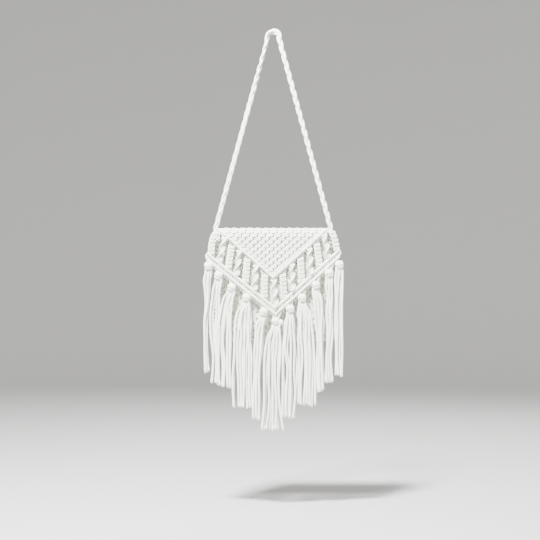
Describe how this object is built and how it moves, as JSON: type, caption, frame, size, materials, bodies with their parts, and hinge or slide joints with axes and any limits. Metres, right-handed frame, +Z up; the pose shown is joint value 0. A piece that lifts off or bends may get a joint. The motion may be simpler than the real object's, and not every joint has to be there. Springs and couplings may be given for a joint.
{
  "type": "macrame bag",
  "caption": "Small knotted cotton shoulder bag with a V-shaped fringed flap over an open pouch, hung by its braided strap.",
  "frame": {"origin": "underside of the strap at the point where it hangs on a hook or a shoulder, in the middle of the bag's width", "axes": "+Z up, the bag's front with the flap and tassels faces -Y, +X to the viewer's right"},
  "size_m": [0.2657, 0.0455, 0.7606],
  "materials": {
    "knotted_cotton": "matt off-white cotton cord, knotted",
    "fringe_cotton": "matt off-white cotton cord, hanging loose",
    "braided_cotton": "matt off-white cotton cord, braided"
  },
  "bodies": {
    "root": {"pouch": "knotted_cotton", "flap_field": "knotted_cotton", "upper_hitch_row": "knotted_cotton", "lower_hitch_row_1": "knotted_cotton", "lower_hitch_row_2": "knotted_cotton", "sennit_01": "knotted_cotton", "sennit_02": "knotted_cotton", "sennit_03": "knotted_cotton", "sennit_04": "knotted_cotton", "sennit_05": "knotted_cotton", "sennit_06": "knotted_cotton", "sennit_07": "knotted_cotton", "sennit_08": "knotted_cotton", "sennit_09": "knotted_cotton", "sennit_10": "knotted_cotton", "sennit_11": "knotted_cotton", "sennit_12": "knotted_cotton", "sennit_13": "knotted_cotton", "sennit_14": "knotted_cotton", "sennit_15": "knotted_cotton", "tassel_01": "fringe_cotton", "tassel_02": "fringe_cotton", "tassel_03": "fringe_cotton", "tassel_04": "fringe_cotton", "tassel_05": "fringe_cotton", "tassel_06": "fringe_cotton", "tassel_07": "fringe_cotton", "tassel_08": "fringe_cotton", "tassel_09": "fringe_cotton", "tassel_10": "fringe_cotton", "tassel_11": "fringe_cotton", "strap": "braided_cotton"}
  },
  "joints": []
}
